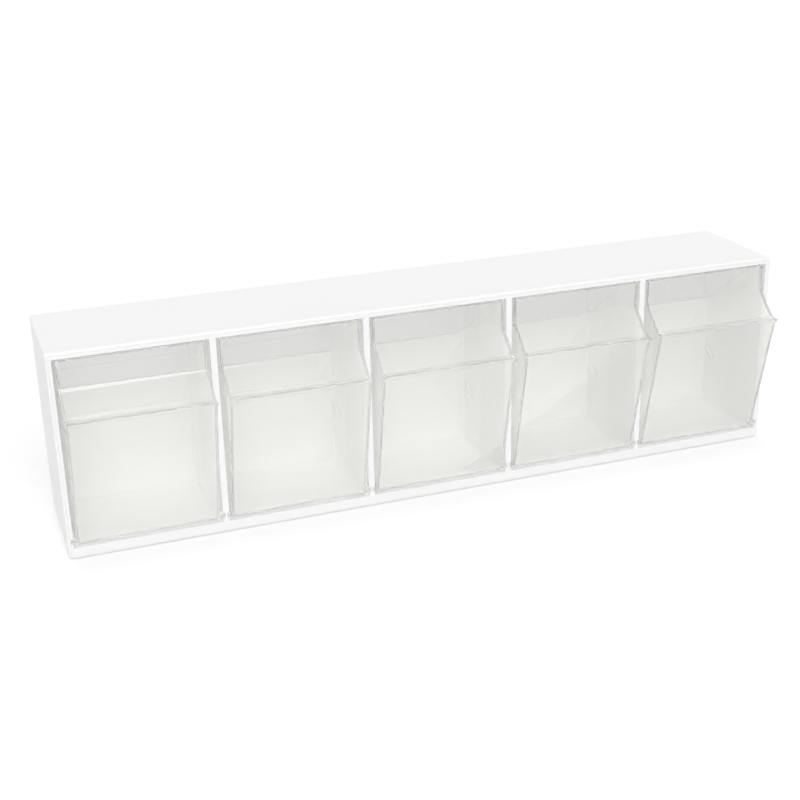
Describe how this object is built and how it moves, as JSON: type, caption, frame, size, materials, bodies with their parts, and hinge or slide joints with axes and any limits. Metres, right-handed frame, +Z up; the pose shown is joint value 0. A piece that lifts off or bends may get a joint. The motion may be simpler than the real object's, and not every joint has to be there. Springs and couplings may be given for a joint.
{
  "type": "tilt-out bin cabinet",
  "caption": "Opaque white countertop cabinet whose clear bulged bins, side by side, tip forward on studs low in the front frame by a finger ledge.",
  "frame": {"origin": "centre of the overall footprint (the bins' lips included), on the surface that the cabinet stands on", "axes": "+Z up, the bins' fronts face -Y, +X along the row of bins from the viewer's left to right"},
  "size_m": [0.6, 0.125, 0.164],
  "materials": {
    "cabinet": "opaque white moulded plastic, semi-gloss",
    "bins": "clear moulded plastic, polished"
  },
  "bodies": {
    "cabinet": {"housing_sleeve": "cabinet", "front_frame": "cabinet", "back_panel": "cabinet", "divider_1": "cabinet", "divider_2": "cabinet", "divider_3": "cabinet", "divider_4": "cabinet"},
    "tilting_bin_1": {"bin_1": "bins"},
    "tilting_bin_2": {"bin_2": "bins"},
    "tilting_bin_3": {"bin_3": "bins"},
    "tilting_bin_4": {"bin_4": "bins"},
    "tilting_bin_5": {"bin_5": "bins"}
  },
  "joints": [
    {"name": "bin_1_tilt", "type": "hinge", "parent": "cabinet", "child": "tilting_bin_1", "pos_m": [-0.2384, -0.0303, 0.0146], "axis": [1, 0, 0], "range_deg": [0, 45]},
    {"name": "bin_2_tilt", "type": "hinge", "parent": "cabinet", "child": "tilting_bin_2", "pos_m": [-0.1192, -0.0303, 0.0146], "axis": [1, 0, 0], "range_deg": [0, 45]},
    {"name": "bin_3_tilt", "type": "hinge", "parent": "cabinet", "child": "tilting_bin_3", "pos_m": [0, -0.0303, 0.0146], "axis": [1, 0, 0], "range_deg": [0, 45]},
    {"name": "bin_4_tilt", "type": "hinge", "parent": "cabinet", "child": "tilting_bin_4", "pos_m": [0.1192, -0.0303, 0.0146], "axis": [1, 0, 0], "range_deg": [0, 45]},
    {"name": "bin_5_tilt", "type": "hinge", "parent": "cabinet", "child": "tilting_bin_5", "pos_m": [0.2384, -0.0303, 0.0146], "axis": [1, 0, 0], "range_deg": [0, 45]}
  ]
}
